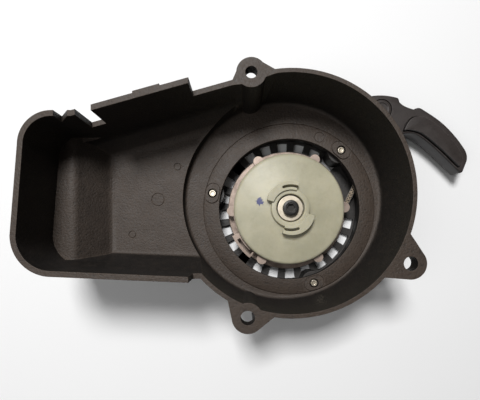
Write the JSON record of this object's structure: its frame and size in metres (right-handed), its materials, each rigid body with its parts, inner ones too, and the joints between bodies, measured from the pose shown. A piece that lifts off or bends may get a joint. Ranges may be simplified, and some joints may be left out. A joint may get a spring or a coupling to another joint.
{
  "type": "recoil starter",
  "caption": "Recoil starter in a round open fan shroud with a side air duct, a rope reel with a nylon cam disc, and a hooked pull handle.",
  "frame": {"origin": "on the reel's axis, at the flat outer face of the starter cover", "axes": "+Z along the reel's axis towards the open engine side, -X towards the air duct, +Y towards the pull handle"},
  "size_m": [0.2206, 0.1243, 0.061],
  "materials": {
    "shroud_plastic": "matte, moulded grain",
    "cover_plastic": "matte",
    "nylon": "satin, slightly yellowed",
    "cast_alloy": "satin",
    "steel": "satin",
    "spring_steel": "dark, oiled",
    "black_steel": "blackened",
    "bronze": "satin",
    "rope": "braided",
    "handle_plastic": "satin"
  },
  "bodies": {
    "housing": {"fan_shroud": "shroud_plastic", "starter_cover": "cover_plastic", "cover_screw_1": "steel", "cover_screw_2": "steel", "cover_screw_3": "steel", "rope_eyelet": "steel", "centre_post": "steel", "retaining_washer": "steel", "centre_bolt": "black_steel", "mainspring": "spring_steel", "rope_run": "rope"},
    "reel": {"rope_drum": "cast_alloy", "lug_plate": "cast_alloy", "reel_rivet_1": "steel", "reel_rivet_2": "steel", "reel_rivet_3": "steel", "post_bush": "bronze", "buffer_spring": "spring_steel", "rope_winding": "rope"},
    "cam": {"cam_disc": "nylon"},
    "handle": {"pull_handle": "handle_plastic", "handle_plug": "handle_plastic", "handle_ferrule": "steel", "handle_knot": "rope", "rope_tail": "rope"}
  },
  "joints": [
    {"name": "reel_spin", "type": "hinge", "parent": "housing", "child": "reel", "pos_m": [0, 0, 0.008], "axis": [0, 0, 1], "range_deg": [0, 1640], "stiffness_Nm_per_rad": 0.02},
    {"name": "cam_wind", "type": "hinge", "parent": "reel", "child": "cam", "pos_m": [0, 0, 0.016], "axis": [0, 0, 1], "range_deg": [-120, 0], "stiffness_Nm_per_rad": 0.1},
    {"name": "handle_pull", "type": "slide", "parent": "housing", "child": "handle", "axis": [0.1507, 0.9886, 0], "range_m": [0, 0.75]}
  ],
  "couplings": [
    {"joint": "handle_pull", "follows": "reel_spin", "m_per_rad": 0.0262}
  ]
}
